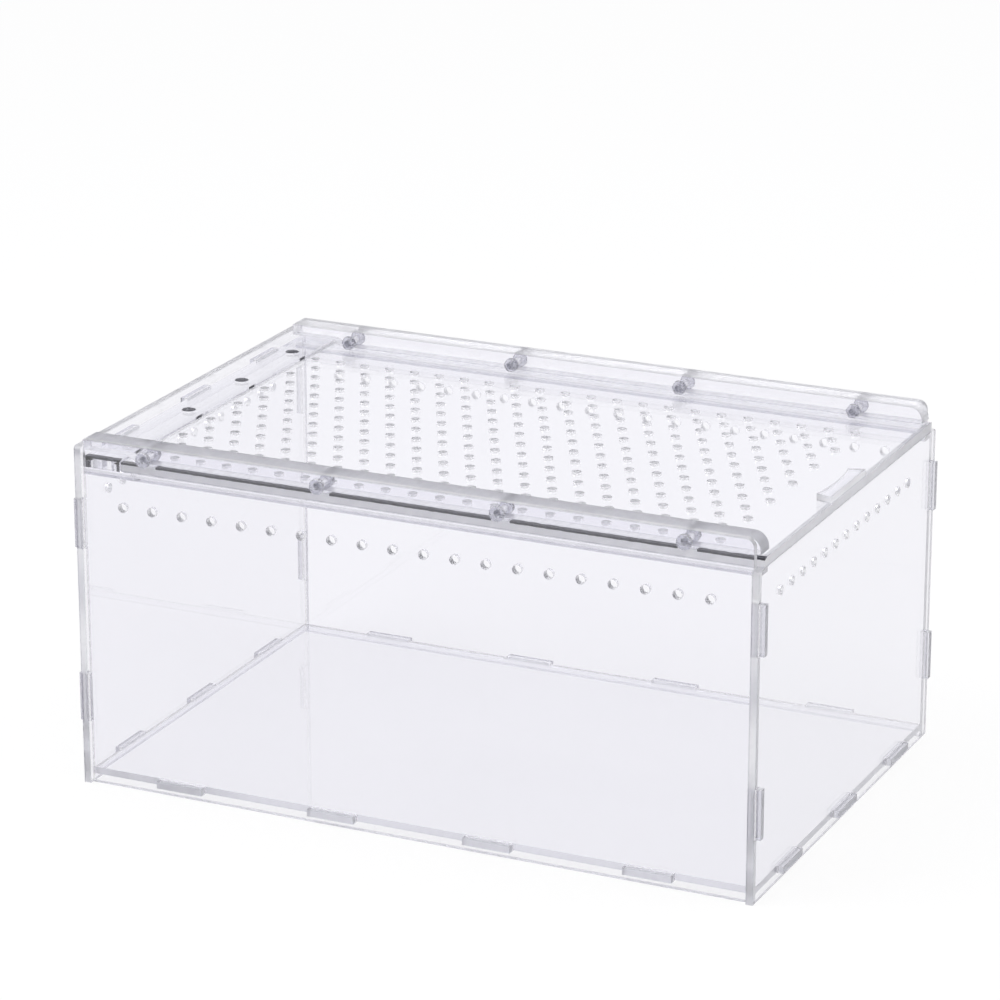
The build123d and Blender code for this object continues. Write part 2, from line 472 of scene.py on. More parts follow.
class CutMarks(MarkGroup):
    """The cut edges of a sheet and the fine stripes that the cutter leaves across them."""

    NAME = "cut_marks"
    VECTORS = ("Vector", "Normal", "Sheet Axis")
    OUTPUTS = ("Edge", "Stripe")
    EDGE_STEP = (0.3, 0.7)
    DRAWN_OUT = 0.96
    STRIPE_SCALE = 900.0
    STRIPE_STEP = (0.35, 0.65)

    def fill(self, graph: NodeGraph, given: bpy.types.NodeOutputs) -> dict[str, Socket]:
        """Adds the edge test and the striped noise.

        Args:
            graph: The group's graph.
            given: The group's inputs.

        Returns:
            The result for each output.
        """
        axis = given["Sheet Axis"]
        along_axis = graph.vector_maths("DOT_PRODUCT", given["Normal"], axis).outputs["Value"]
        facing = graph.maths("ABSOLUTE", along_axis)
        depth = graph.vector_maths("DOT_PRODUCT", given["Vector"], axis).outputs["Value"]
        drawn = graph.maths("MULTIPLY", depth, self.DRAWN_OUT)
        squeeze = graph.add("ShaderNodeVectorMath", {"operation": "SCALE"}, Scale=drawn)
        graph.feed(squeeze, 0, axis)
        flat = graph.vector_maths("SUBTRACT", given["Vector"], squeeze.outputs["Vector"])
        stripe = graph.noise(flat.outputs["Vector"], self.STRIPE_SCALE, 3.0)
        return {
            "Edge": graph.rise(facing, *self.EDGE_STEP, falls=True),
            "Stripe": graph.rise(stripe, *self.STRIPE_STEP),
        }


class BorderWear(MarkGroup):
    """A broken band of handling marks along the border of a sheet."""

    NAME = "border_wear"
    VECTORS = ("Vector", "Low", "High", "Sheet Axis")
    VALUES = ("Reach", "Arris Width", "Rim Width")
    OUTPUTS = ("Mask", "Arris", "Rim")
    BREAK_SCALE = 160.0
    BREAK_STEP = (0.4, 0.65)
    SOFT_STEP = (0.6, 1.0)

    def fill(self, graph: NodeGraph, given: bpy.types.NodeOutputs) -> dict[str, Socket]:
        """Adds the distance to the nearest border, and breaks the wear up with noise.

        Args:
            graph: The group's graph.
            given: The group's inputs.

        Returns:
            The result for each output.
        """
        place, axis = given["Vector"], given["Sheet Axis"]
        from_low = graph.vector_maths("SUBTRACT", place, given["Low"]).outputs["Vector"]
        from_high = graph.vector_maths("SUBTRACT", given["High"], place).outputs["Vector"]
        nearest = graph.vector_maths("MINIMUM", from_low, from_high).outputs["Vector"]
        past_axis = graph.vector_maths("ADD", nearest, axis).outputs["Vector"]
        parts = graph.add("ShaderNodeSeparateXYZ", Vector=past_axis)
        distance = graph.maths("MINIMUM", parts.outputs["X"], parts.outputs["Y"])
        distance = graph.maths("MINIMUM", distance, parts.outputs["Z"])
        share = graph.maths("DIVIDE", distance, given["Reach"])
        band = graph.rise(share, 0.0, 1.0, falls=True)
        breaks = graph.rise(graph.noise(place, self.BREAK_SCALE, 4.0, 0.65), *self.BREAK_STEP)
        arris_share = graph.maths("DIVIDE", distance, given["Arris Width"])
        depth = graph.vector_maths("DOT_PRODUCT", from_low, axis).outputs["Value"]
        rim_share = graph.maths("DIVIDE", depth, given["Rim Width"])
        return {
            "Mask": graph.maths("MULTIPLY", band, breaks),
            "Arris": graph.rise(arris_share, *self.SOFT_STEP, falls=True),
            "Rim": graph.rise(rim_share, *self.SOFT_STEP, falls=True),
        }


class RubbedArris(MarkGroup):
    """Painted shade: a dark line painted along the front upper arris, under the front rail, with gaps at the
    screws.
    """

    NAME = "rubbed_arris"
    VECTORS = ("Vector", "Low", "High")
    VALUES = ("Across", "Down", "Rub First", "Half Pitch", "Rub Half")
    OUTPUTS = ("Mask",)
    UNEVEN_SCALE = 300.0
    UNEVEN_SHARE = 0.5
    FADE_STEP = (1.0, 1.3)

    def fill(self, graph: NodeGraph, given: bpy.types.NodeOutputs) -> dict[str, Socket]:
        """Adds the distance to the arris, measured in shares of the two reaches.

        Args:
            graph: The group's graph.
            given: The group's inputs.

        Returns:
            The result for each output.
        """
        from_low = graph.vector_maths("SUBTRACT", given["Vector"], given["Low"]).outputs["Vector"]
        from_high = graph.vector_maths("SUBTRACT", given["High"], given["Vector"]).outputs["Vector"]
        low_parts = graph.add("ShaderNodeSeparateXYZ", Vector=from_low)
        high_parts = graph.add("ShaderNodeSeparateXYZ", Vector=from_high)
        across = graph.maths("DIVIDE", low_parts.outputs["Y"], given["Across"])
        share = graph.maths("ADD", across, graph.maths("DIVIDE", high_parts.outputs["Z"], given["Down"]))
        uneven = graph.noise(given["Vector"], self.UNEVEN_SCALE, 2.0)
        ragged = graph.maths("MULTIPLY_ADD", uneven, self.UNEVEN_SHARE, share)
        grimy = graph.rise(ragged, *self.FADE_STEP, falls=True)
        along = graph.maths("SUBTRACT", low_parts.outputs["X"], given["Rub First"])
        from_screw = graph.maths("PINGPONG", along, given["Half Pitch"])
        # Gaps in the painted shade at the screws.
        left = graph.maths("GREATER_THAN", from_screw, given["Rub Half"])
        return {"Mask": graph.maths("MULTIPLY", grimy, left)}


class MouldedGrain(MarkGroup):
    """The fine grain of a moulded or plated skin, and where it is rubbed."""

    NAME = "moulded_grain"
    VECTORS = ("Vector",)
    VALUES = ("Grain Height",)
    OUTPUTS = ("Height", "Hollow", "Rub")
    GRAIN_SCALE = 1400.0
    HOLLOW_STEP = (0.35, 0.65)
    RUB_SCALE = 420.0
    RUB_STEP = (0.52, 0.68)

    def fill(self, graph: NodeGraph, given: bpy.types.NodeOutputs) -> dict[str, Socket]:
        """Adds the fine and the coarse noise.

        Args:
            graph: The group's graph.
            given: The group's inputs.

        Returns:
            The result for each output.
        """
        grain = graph.noise(given["Vector"], self.GRAIN_SCALE, 2.0)
        rub = graph.noise(given["Vector"], self.RUB_SCALE, 4.0, 0.6)
        return {
            "Height": graph.maths("MULTIPLY", grain, given["Grain Height"]),
            "Hollow": graph.rise(grain, *self.HOLLOW_STEP, falls=True),
            "Rub": graph.rise(rub, *self.RUB_STEP),
        }


class AcrylicMaterial:
    """Builds the material of one sheet from its finish."""

    WEAR_SHARE = 0.35
    DUST_SHARE = 0.25
    CAST_SHARE = 0.08

    def __init__(self, finish: AcrylicFinish, low: Vector, high: Vector) -> None:
        """Starts the material with the marks that the sheet shows.

        Args:
            finish: The look of the sheet.
            low: Lowest corner of the sheet.
            high: Highest corner of the sheet.
        """
        self.finish = finish
        self.material, self.graph = NodeGraph.of_material(finish.name)
        coordinates = self.graph.add("ShaderNodeTexCoord")
        place = coordinates.outputs["Object"]
        axis = finish.sheet_axis.value
        self.box = {"Vector": place, "Low": tuple(low), "High": tuple(high)}
        self.marks = SurfaceMarks().place(
            self.graph,
            Vector=place,
            Scratch_Height=finish.scratch_height,
            Wave_Height=finish.wave_height,
            Smudge=finish.smudge,
        ).outputs
        self.cut = CutMarks().place(
            self.graph, Vector=place, Normal=coordinates.outputs["Normal"], Sheet_Axis=axis
        ).outputs
        self.wear = BorderWear().place(
            self.graph,
            **self.box,
            Sheet_Axis=axis,
            Reach=finish.wear_reach,
            Arris_Width=finish.arris_width,
            Rim_Width=finish.rim_width,
        ).outputs

    def build(self) -> bpy.types.Material:
        """Finishes the material.

        Returns:
            The clear material, with satin cut edges and marks on its faces.
        """
        shader = self.graph.add(
            "ShaderNodeBsdfPrincipled",
            Base_Color=self.with_grime(self.with_tenons(self.colour())),
            Roughness=self.roughness(),
            Normal=self.relief(),
            IOR=self.finish.ior,
            Transmission_Weight=1.0,
        )
        self.graph.show_clear(shader, self.finish.absorption, self.finish.absorption_density)
        return self.material

    def colour(self) -> Socket:
        """Mixes the tints of the faces, the arrises and the cut edges.

        Returns:
            The colour of the sheet alone.
        """
        graph, finish = self.graph, self.finish
        cast_share = graph.maths("MULTIPLY", self.marks["Cast"], self.CAST_SHARE)
        cast = graph.blend(cast_share, finish.tint, finish.dirt_tint)
        face = graph.blend(self.wear["Arris"], cast, finish.arris_tint)
        rimmed = graph.blend(self.wear["Rim"], finish.edge_tint, finish.arris_tint)
        return graph.blend(self.cut["Edge"], face, rimmed)

    def with_tenons(self, colour: Socket) -> Socket:
        """Adds the satin of the tenons, where the sheet has any, and then the dirt.

        Args:
            colour: The colour of the sheet alone.

        Returns:
            The colour of the handled sheet.
        """
        graph, finish = self.graph, self.finish
        if any(finish.tenon_axes):
            satin = BorderWear().place(
                graph,
                **self.box,
                Sheet_Axis=tuple(1.0 - share for share in finish.tenon_axes),
                Reach=finish.tenon_reach,
                Arris_Width=finish.tenon_reach,
                Rim_Width=finish.tenon_reach,
            )
            colour = graph.blend(satin.outputs["Arris"], colour, finish.tenon_tint)
        dirt = graph.maths("MULTIPLY", self.marks["Dust"], self.DUST_SHARE)
        worn = graph.maths("MULTIPLY", self.wear["Mask"], self.WEAR_SHARE)
        return graph.blend(graph.maths("MAXIMUM", dirt, worn), colour, finish.dirt_tint)

    def with_grime(self, colour: Socket) -> Socket:
        """Adds the painted shade line along the front upper arris, where the sheet has one.

        Args:
            colour: The colour of the handled sheet.

        Returns:
            The base colour.
        """
        graph, finish = self.graph, self.finish
        if not finish.grime:
            return colour
        arris = RubbedArris().place(
            graph,
            **self.box,
            Across=finish.grime_across,
            Down=finish.grime_down,
            Rub_First=finish.rub_first - self.box["Low"][0],
            Half_Pitch=finish.rub_pitch / 2,
            Rub_Half=finish.rub_half,
        )
        # Painted shade: the near-black line is mixed into the base colour.
        grimy = graph.maths("MULTIPLY", arris.outputs["Mask"], finish.grime)
        return graph.blend(grimy, colour, finish.grime_tint)

    def roughness(self) -> Socket:
        """Adds up the roughness of finger marks, wear and cut edges.

        Returns:
            The roughness.
        """
        graph, finish = self.graph, self.finish
        stripe = self.cut["Stripe"]
        striped = graph.maths("MULTIPLY_ADD", stripe, finish.stripe_roughness, finish.edge_roughness)
        edge = graph.maths("MULTIPLY", striped, self.cut["Edge"])
        worn = graph.maths("MULTIPLY", self.wear["Mask"], finish.wear_roughness)
        return graph.maths("MAXIMUM", graph.maths("ADD", self.marks["Smear"], worn), edge)

    def relief(self) -> Socket:
        """Turns the depth of the stripes and of the marks into a normal.

        Returns:
            The normal.
        """
        graph, edge = self.graph, self.cut["Edge"]
        stripes = graph.maths("MULTIPLY", self.cut["Stripe"], self.finish.stripe_height)
        on_edge = graph.maths("MULTIPLY", stripes, edge)
        on_face = graph.maths("MULTIPLY", self.marks["Height"], graph.maths("SUBTRACT", 1.0, edge))
        return graph.emboss(graph.maths("ADD", on_edge, on_face))


class GrainedMaterial:
    """What the materials of the small pieces share: a fine grain that is rubbed in places."""

    def __init__(self, finish: MouldedFinish | PlatedFinish) -> None:
        """Starts the material.

        Args:
            finish: The look of the pieces.
        """
        self.finish = finish
        self.material, self.graph = NodeGraph.of_material(finish.name)
        place = self.graph.add("ShaderNodeTexCoord").outputs["Object"]
        grain = MouldedGrain().place(self.graph, Vector=place, Grain_Height=finish.grain_height)
        self.hollow = grain.outputs["Hollow"]
        self.rub = grain.outputs["Rub"]
        self.normal = self.graph.emboss(grain.outputs["Height"])
        self.roughness = self.graph.maths(
            "MULTIPLY_ADD", self.rub, finish.roughness * finish.rub_roughness, finish.roughness
        )


class MouldedMaterial(GrainedMaterial):
    """The material of the screws and nuts."""

    def build(self) -> bpy.types.Material:
        """Finishes the material.

        Returns:
            The clear material with a moulded grain.
        """
        finish = self.finish
        shader = self.graph.add(
            "ShaderNodeBsdfPrincipled",
            Base_Color=self.graph.blend(self.hollow, finish.tint, finish.hollow_tint),
            Roughness=self.roughness,
            Normal=self.normal,
            IOR=finish.ior,
            Transmission_Weight=finish.transmission,
        )
        self.graph.show_clear(shader, finish.absorption, finish.absorption_density)
        return self.material


class PlatedMaterial(GrainedMaterial):
    """The material of the magnets."""

    def build(self) -> bpy.types.Material:
        """Finishes the material.

        Returns:
            The dark metal, a little brighter where it is rubbed.
        """
        shader = self.graph.add(
            "ShaderNodeBsdfPrincipled",
            Base_Color=self.graph.blend(self.rub, self.finish.colour, self.finish.worn_colour),
            Roughness=self.roughness,
            Normal=self.normal,
            Metallic=1.0,
        )
        self.graph.add("ShaderNodeOutputMaterial", Surface=shader.outputs[0])
        return self.material


def dress(node: str, material: bpy.types.Material) -> None:
    """Gives a part of the model a material.

    Args:
        node: Name of the part.
        material: The material for all its slots.
    """
    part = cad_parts[node]
    for slot in part.material_slots:
        slot.material = material
    LOG.info("dressed %s in %s", node, material.name)


def dress_sheet(node: str, axis: SheetAxis, **changes: object) -> None:
    """Gives a sheet the clear finish that knows its own border and cut edges.

    Args:
        node: Name of the sheet.
        axis: Direction that its broad faces look along.
        **changes: What its finish has otherwise, by field name.
    """
    low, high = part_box(node)
    finish = AcrylicFinish(name=f"acrylic_{node}", sheet_axis=axis, **changes)
    dress(node, AcrylicMaterial(finish, low, high).build())


class Bench:
    """The modelling steps that the small pieces go through."""

    LEVEL_TOLERANCE = 1e-6
    CUT_TOLERANCE = 1e-8
    SEAM_MERGE = 1e-6
    FINE_MERGE = 1e-7
    SMOOTH_ANGLE = math.radians(35.0)
    CREST = (0.42, 0.58)
    THREAD_STEPS = 20
    LEAD_TURNS = 2
    SPARE_TURNS = 4

    @staticmethod
    def clear() -> None:
        """Leaves nothing selected."""
        bpy.ops.object.select_all(action="DESELECT")

    @staticmethod
    def hold(piece: Piece) -> None:
        """Selects one piece alone and makes it the active one.

        Args:
            piece: The piece to work on.
        """
        Bench.clear()
        piece.select_set(True)
        bpy.context.view_layer.objects.active = piece

    @staticmethod
    def open(piece: Piece, action: str = "SELECT") -> None:
        """Holds a piece and opens it in edit mode.

        Args:
            piece: The piece to work on.
            action: SELECT for all of it, or DESELECT for nothing.
        """
        Bench.hold(piece)
        bpy.ops.object.mode_set(mode="EDIT")
        bpy.ops.mesh.select_all(action=action)

    @staticmethod
    def close() -> None:
        """Leaves edit mode."""
        bpy.ops.object.mode_set(mode="OBJECT")

    @staticmethod
    def open_at(piece: Piece, wanted: Callable[[bpy.types.MeshEdge], bool]) -> None:
        """Opens a piece in edit mode with some of its edges selected.

        Args:
            piece: The piece to work on.
            wanted: Tells whether an edge is selected.
        """
        Bench.open(piece, "DESELECT")
        Bench.close()
        for edge in piece.data.edges:
            edge.select = wanted(edge)
        bpy.ops.object.mode_set(mode="EDIT")
        bpy.ops.mesh.select_mode(type="EDGE")

    @staticmethod
    def rod(name: str, radius: float, low: float, high: float, sides: int = 32) -> Piece:
        """Adds an upright rod on the Z axis.

        Args:
            name: Name of the piece.
            radius: Radius over the corners.
            low: Height of the lower face.
            high: Height of the upper face.
            sides: Number of sides.

        Returns:
            The new piece.
        """
        Bench.clear()
        bpy.ops.mesh.primitive_cylinder_add(
            vertices=sides, radius=radius, depth=high - low, location=(0.0, 0.0, (low + high) / 2)
        )
        piece = bpy.context.active_object
        piece.name = name
        bpy.ops.object.transform_apply(location=True, rotation=True, scale=True)
        return piece

    @staticmethod
    def soften_rim(piece: Piece, level: float, width: float, segments: int) -> None:
        """Rounds the rim of a flat end.

        Args:
            piece: The piece to work on.
            level: Height of the end.
            width: Width of the rounding.
            segments: Number of steps in the rounding.
        """
        heights = [point.co.z - level for point in piece.data.vertices]
        Bench.open_at(
            piece, lambda edge: all(abs(heights[number]) < Bench.LEVEL_TOLERANCE for number in edge.vertices)
        )
        bpy.ops.mesh.bevel(offset=width, segments=segments, profile=0.5)
        Bench.close()

    @staticmethod
    def work(piece: Piece, tool: Piece, step: BooleanStep) -> None:
        """Cuts, joins or trims a piece with another solid, which is used up.

        Args:
            piece: The piece to work on.
            tool: The solid that works on it.
            step: What is done.
        """
        Bench.hold(piece)
        modifier = piece.modifiers.new(step.name.lower(), "BOOLEAN")
        modifier.operation = step.value
        modifier.solver = "EXACT"
        modifier.object = tool
        bpy.ops.object.modifier_apply(modifier=modifier.name)
        bpy.data.objects.remove(tool, do_unlink=True)

    @staticmethod
    def slice_off(piece: Piece, level: float, keep_below: bool) -> None:
        """Cuts a piece flat at a height and closes the cut.

        Args:
            piece: The piece to work on.
            level: Height of the cut.
            keep_below: Whether the lower side stays.
        """
        Bench.open(piece)
        bpy.ops.mesh.bisect(
            plane_co=(0.0, 0.0, level),
            plane_no=(0.0, 0.0, 1.0),
            use_fill=True,
            clear_outer=keep_below,
            clear_inner=not keep_below,
            threshold=Bench.CUT_TOLERANCE,
        )
        Bench.close()

    @staticmethod
    def thread(name: str, radius: float, depth: float, pitch: float, low: float, high: float) -> Piece:
        """Turns a threaded rod on the Z axis.

        Args:
            name: Name of the piece.
            radius: Radius over the crests.
            depth: Depth of the thread.
            pitch: Height of one turn.
            low: Height of the lower end.
            high: Height of the upper end.

        Returns:
            The new piece.
        """
        Bench.clear()
        bpy.ops.mesh.primitive_plane_add(size=pitch)
        piece = bpy.context.active_object
        piece.name = name
        reaches = (radius - depth, radius, radius, radius - depth)
        corners = (0, 1, 3, 2)
        for number, reach, share in zip(corners, reaches, (0.0, *Bench.CREST, 1.0)):
            piece.data.vertices[number].co = (reach, 0.0, low + (share - Bench.LEAD_TURNS) * pitch)
        Bench.open(piece)
        bpy.ops.mesh.delete(type="ONLY_FACE")
        Bench.close()
        Bench.open_at(piece, lambda edge: set(edge.vertices) == {corners[0], corners[-1]})
        bpy.ops.mesh.delete(type="EDGE")
        Bench.close()
        turned = piece.modifiers.new("turned", "SCREW")
        turned.steps = Bench.THREAD_STEPS
        turned.render_steps = Bench.THREAD_STEPS
        turned.screw_offset = pitch
        turned.iterations = int((high - low) / pitch) + Bench.SPARE_TURNS
        bpy.ops.object.modifier_apply(modifier=turned.name)
        Bench.open(piece)
        bpy.ops.mesh.remove_doubles(threshold=Bench.SEAM_MERGE)
        Bench.close()
        Bench.slice_off(piece, high, keep_below=True)
        Bench.slice_off(piece, low, keep_below=False)
        Bench.face_outwards(piece)
        return piece

    @staticmethod
    def face_outwards(piece: Piece) -> None:
        """Merges doubled points and turns all the faces outwards.

        Args:
            piece: The piece to work on.
        """
        Bench.open(piece)
        bpy.ops.mesh.remove_doubles(threshold=Bench.FINE_MERGE)
        bpy.ops.mesh.normals_make_consistent(inside=False)
        Bench.close()

    @staticmethod
    def finish(piece: Piece, material: bpy.types.Material) -> None:
        """Smooths a piece's round faces and gives it its material.

        Args:
            piece: The piece to finish.
            material: Its material.
        """
        Bench.face_outwards(piece)
        bpy.ops.object.shade_smooth_by_angle(angle=Bench.SMOOTH_ANGLE)
        piece.data.materials.clear()
        piece.data.materials.append(material)

    @staticmethod
    def set_down(master: Piece, name: str, place: Vector, turn: float) -> Piece:
        """Copies a piece with its own mesh, turns the copy about X and puts it in its place.

        Args:
            master: The piece that is copied.
            name: Name of the copy.
            place: Where the copy's origin goes.
            turn: Turn about X, in radians.

        Returns:
            The copy, whose place is in its mesh.
        """
        copy = master.copy()
        copy.data = master.data.copy()
        copy.name = name
        bpy.context.scene.collection.objects.link(copy)
        Bench.hold(copy)
        copy.rotation_euler = (turn, 0.0, 0.0)
        copy.location = place
        bpy.ops.object.transform_apply(location=True, rotation=True, scale=True)
        return copy


def spread(low: float, high: float, radius: float, count: int) -> list[float]:
    """Centres of round things set evenly between two outer faces.

    Args:
        low: Lower outer face.
        high: Upper outer face.
        radius: Radius of each thing.
        count: How many there are.

    Returns:
        The centres.
    """
    first, last = low + radius, high - radius
    return [first + (last - first) * number / (count - 1) for number in range(count)]


def set_row(master: Piece, node: str, row: list[Vector], turn: float) -> None:
    """Sets copies of a small piece into the case and takes the master away.

    Args:
        master: The modelled piece.
        node: Name of the part that the copies stand for.
        row: Where the copies go.
        turn: Turn about X, in radians.
    """
    for number, place in enumerate(row, start=1):
        piece = Bench.set_down(master, f"{node}_{number}", place, turn)
        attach(piece, "case")
        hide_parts(node)
    bpy.data.objects.remove(master, do_unlink=True)
    LOG.info("made the row %s", node)


@dataclass(frozen=True)
class TenonedSheet:
    """A sheet that is held by its tenons.

    Args:
        node: Name of the sheet.
        axis: Direction that its broad faces look along.
        tenon_axes: 1 along each axis that it has tenons along, and 0 along the others.
        arris_tint: Colour of light that passes its softened arris.
    """

    node: str
    axis: SheetAxis
    tenon_axes: Triple
    arris_tint: Triple = AcrylicFinish.arris_tint


@dataclass
class Case:
    """The glued sheets of the box."""

    sheets: tuple[TenonedSheet, ...] = (
        TenonedSheet("floor_panel", SheetAxis.Z, (1.0, 1.0, 0.0), arris_tint=(0.86, 0.86, 0.89)),
        TenonedSheet("front_panel", SheetAxis.Y, (1.0, 0.0, 0.0)),
        TenonedSheet("back_panel", SheetAxis.Y, (1.0, 0.0, 0.0)),
    )
    tenon_tint: Triple = (0.74, 0.74, 0.78)
    walls: tuple[str, ...] = ("left_wall", "right_wall")
    wall_tint: Triple = (0.915, 0.912, 0.94)
    # Painted shade: the front rail's cut edges are painted darker than the back rail's, standing in for the
    # dark line seen there.
    front_rail_edge_tint: Triple = (0.62, 0.62, 0.66)
    ledges: tuple[str, ...] = ("front_ledge", "back_ledge")
    ledge_roughness: float = 0.06
    # Painted shade: a dark band painted on the lower side of the ledges' cut edges, standing in for the dark
    # mirror line there.
    glue_line: float = 1.4 * MILLIMETRE
    strip_tenon_axes: Triple = (1.0, 0.0, 0.0)
    strip_tint: Triple = (0.91, 0.908, 0.94)
    strip_roughness: float = 0.03
    # Painted shade: a near-black line painted along the end strip's front upper arris.
    strip_grime: float = 1.0
    strip_grime_across: float = 3.0 * MILLIMETRE
    strip_grime_down: float = 1.1 * MILLIMETRE

    def dress(self) -> None:
        """Gives every sheet its finish."""
        for sheet in self.sheets:
            dress_sheet(
                sheet.node,
                sheet.axis,
                tenon_axes=sheet.tenon_axes,
                tenon_tint=self.tenon_tint,
                arris_tint=sheet.arris_tint,
            )
        dress_sheet("back_rail", SheetAxis.Y)
        for node in self.walls:
            dress_sheet(node, SheetAxis.X, tint=self.wall_tint)
        # The front rail gets the painted shade on its cut edges.
        dress_sheet("front_rail", SheetAxis.Y, edge_tint=self.front_rail_edge_tint)
        # The ledges get the wider painted shade band on their cut edges.
        for node in self.ledges:
            dress_sheet(node, SheetAxis.Z, edge_roughness=self.ledge_roughness, rim_width=self.glue_line)
        # The end strip carries the painted shade line along its front upper arris.
        dress_sheet(
            "end_strip",
            SheetAxis.Z,
            tint=self.strip_tint,
            edge_roughness=self.strip_roughness,
            stripe_roughness=self.strip_roughness,
            tenon_axes=self.strip_tenon_axes,
            grime=self.strip_grime,
            grime_across=self.strip_grime_across,
            grime_down=self.strip_grime_down,
        )


@dataclass
class SlidingLid:
    """The drilled lid and its finger grip."""

    # Painted shade: a near-black line painted on the lid's front upper arris under the front rail, left out
    # at the screws.
    rail_grime: float = 1.0
    screws_node: str = "front_rail_screws"
    screw_count: int = 4
    clean_half: float = 4.0 * MILLIMETRE

    def dress(self) -> None:
        """Gives the lid and the grip their finish."""
        low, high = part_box(self.screws_node)
        places = spread(low[0], high[0], (high[2] - low[2]) / 2, self.screw_count)
        dress_sheet(
            "lid",
            SheetAxis.Z,
            grime=self.rail_grime,
            rub_first=places[0],
            rub_pitch=places[1] - places[0],
            rub_half=self.clean_half,
        )
        dress_sheet("lid_grip", SheetAxis.Z)


@dataclass
class RailFasteners:
    """The slotted screws of both rails and the nuts that hold them."""

    count: int = 4
    head_height: float = 1.8 * MILLIMETRE
    head_sides: int = 40
    head_rounding: float = 0.5 * MILLIMETRE
    head_steps: int = 4
    slot_width: float = 1.0 * MILLIMETRE
    slot_depth: float = 0.6 * MILLIMETRE
    shank_radius: float = 1.5 * MILLIMETRE
    shank_in_head: float = 0.25
    thread_depth: float = 0.27 * MILLIMETRE
    thread_pitch: float = 0.5 * MILLIMETRE
    bore_radius: float = 1.53 * MILLIMETRE
    nut_sides: int = 6
    nut_corner_trim: float = 0.1 * MILLIMETRE
    nut_trim_sides: int = 48
    nut_chamfer: float = 0.3 * MILLIMETRE
    nut_steps: int = 2

    def build(self) -> None:
        """Makes the screws and nuts of both rails."""
        material = MouldedMaterial(MouldedFinish(name="milky_moulded_plastic")).build()
        for rail, side in (("front_rail", -1), ("back_rail", 1)):
            self.make_screws(f"{rail}_screws", side, material)
            self.make_nuts(f"{rail}_nuts", side, material)

    def make_screws(self, node: str, side: int, material: bpy.types.Material) -> None:
        """Models one screw and sets its copies into a rail.

        Args:
            node: Name of the screws' part.
            side: -1 at the front rail and 1 at the back.
            material: The screws' material.
        """
        low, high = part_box(node)
        length = high[1] - low[1] - self.head_height
        head_radius = (high[2] - low[2]) / 2
        slot_length = head_radius * 4
        screw = Bench.rod("screw", head_radius, 0.0, self.head_height, self.head_sides)
        Bench.soften_rim(screw, self.head_height, self.head_rounding, self.head_steps)
        Bench.clear()
        bpy.ops.mesh.primitive_cube_add(
            size=1.0,
            location=(0.0, 0.0, self.head_height),
            scale=(slot_length, self.slot_width, 2 * self.slot_depth),
        )
        Bench.work(screw, bpy.context.active_object, BooleanStep.CUT)
        shank = Bench.thread(
            "shank",
            self.shank_radius,
            self.thread_depth,
            self.thread_pitch,
            -length,
            self.head_height * self.shank_in_head,
        )
        Bench.work(screw, shank, BooleanStep.JOIN)
        Bench.finish(screw, material)
        outer_y = low[1] if side < 0 else high[1]
        seat_y = outer_y - side * self.head_height
        row = [
            Vector((x, seat_y, (low[2] + high[2]) / 2))
            for x in spread(low[0], high[0], head_radius, self.count)
        ]
        set_row(screw, node, row, -side * math.pi / 2)

    def make_nuts(self, node: str, side: int, material: bpy.types.Material) -> None:
        """Models one nut and sets its copies behind a rail.

        Args:
            node: Name of the nuts' part.
            side: -1 at the front rail and 1 at the back.
            material: The nuts' material.
        """
        low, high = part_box(node)
        thickness = high[1] - low[1]
        half_side = math.radians(180.0 / self.nut_sides)
        corner_radius = (high[2] - low[2]) / 2 / math.cos(half_side)
        nut = Bench.rod("nut", corner_radius, 0.0, thickness, self.nut_sides)
        nut.rotation_euler = (0.0, 0.0, half_side)
        Bench.hold(nut)
        bpy.ops.object.transform_apply(location=False, rotation=True, scale=False)
        turned = Bench.rod(
            "turned", corner_radius - self.nut_corner_trim, 0.0, thickness, self.nut_trim_sides
        )
        Bench.soften_rim(turned, 0.0, self.nut_chamfer, self.nut_steps)
        Bench.soften_rim(turned, thickness, self.nut_chamfer, self.nut_steps)
        Bench.work(nut, turned, BooleanStep.TRIM)
        bore = Bench.rod("bore", self.bore_radius, -thickness, 2 * thickness)
        Bench.work(nut, bore, BooleanStep.CUT)
        Bench.finish(nut, material)
        outer_y = low[1] if side < 0 else high[1]
        row = [
            Vector((x, outer_y, (low[2] + high[2]) / 2))
            for x in spread(low[0], high[0], corner_radius, self.count)
        ]
        set_row(nut, node, row, side * math.pi / 2)


@dataclass
class StripMagnets:
    """The round magnets in the end strip."""

    node: str = "end_strip_magnets"
    count: int = 4
    sides: int = 48
    chamfer: float = 0.25 * MILLIMETRE
    chamfer_steps: int = 3

    def build(self) -> None:
        """Models one magnet and sets its copies into the strip."""
        low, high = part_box(self.node)
        radius = (high[0] - low[0]) / 2
        material = PlatedMaterial(PlatedFinish(name="dark_nickel_plate")).build()
        magnet = Bench.rod("magnet", radius, 0.0, high[2] - low[2], self.sides)
        Bench.soften_rim(magnet, high[2] - low[2], self.chamfer, self.chamfer_steps)
        Bench.soften_rim(magnet, 0.0, self.chamfer, self.chamfer_steps)
        Bench.finish(magnet, material)
        middle_x = (low[0] + high[0]) / 2
        row = [Vector((middle_x, y, low[2])) for y in spread(low[1], high[1], radius, self.count)]
        set_row(magnet, self.node, row, 0.0)


@dataclass(frozen=True)
class SoftLamp:
    """A square lamp that looks at the object.

    Args:
        name: Name of the lamp.
        place: Where it hangs.
        size: Length of its side.
        share: Its share of the studio's lamp power.
    """

    name: str
    place: Triple
    size: float
    share: float


